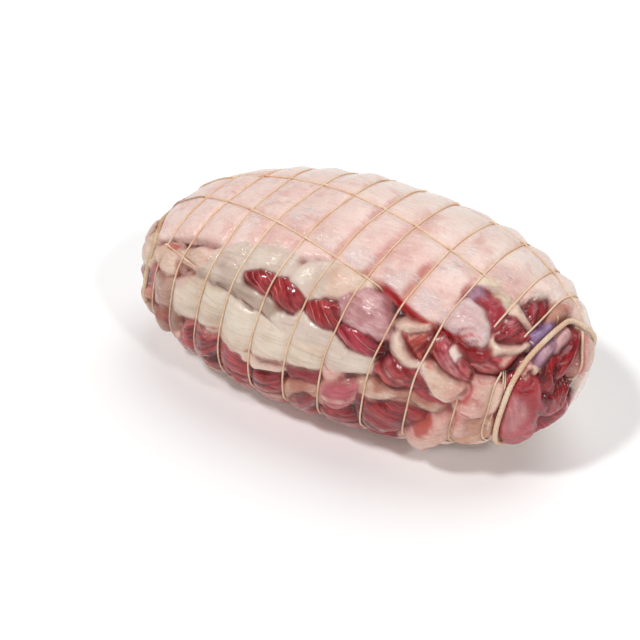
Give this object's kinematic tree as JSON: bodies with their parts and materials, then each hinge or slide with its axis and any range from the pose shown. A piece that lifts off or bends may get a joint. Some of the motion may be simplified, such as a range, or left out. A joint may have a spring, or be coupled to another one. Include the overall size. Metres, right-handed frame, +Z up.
{
  "type": "raw rolled lamb shoulder",
  "caption": "Boned raw lamb shoulder rolled under its pale fat cap and held by an elastic roasting net, with the rolled muscles showing along one side and at the open end.",
  "frame": {"origin": "middle of the bounding box at its lowest plane, where the roll lies on the counter", "axes": "+X along the roll towards its open end, -Y towards the side where the muscles show, +Z up"},
  "size_m": [0.2115, 0.111, 0.0929],
  "materials": {
    "meat": "moist raw lamb: pale pink fat cap, silverskin and deep red muscle",
    "net": "thin matte cream elastic cotton",
    "cord": "thicker matte cream elastic cord"
  },
  "bodies": {
    "root": {"meat": "meat", "net": "net", "cord_open_end": "cord", "cord_far_end": "cord"}
  },
  "joints": []
}
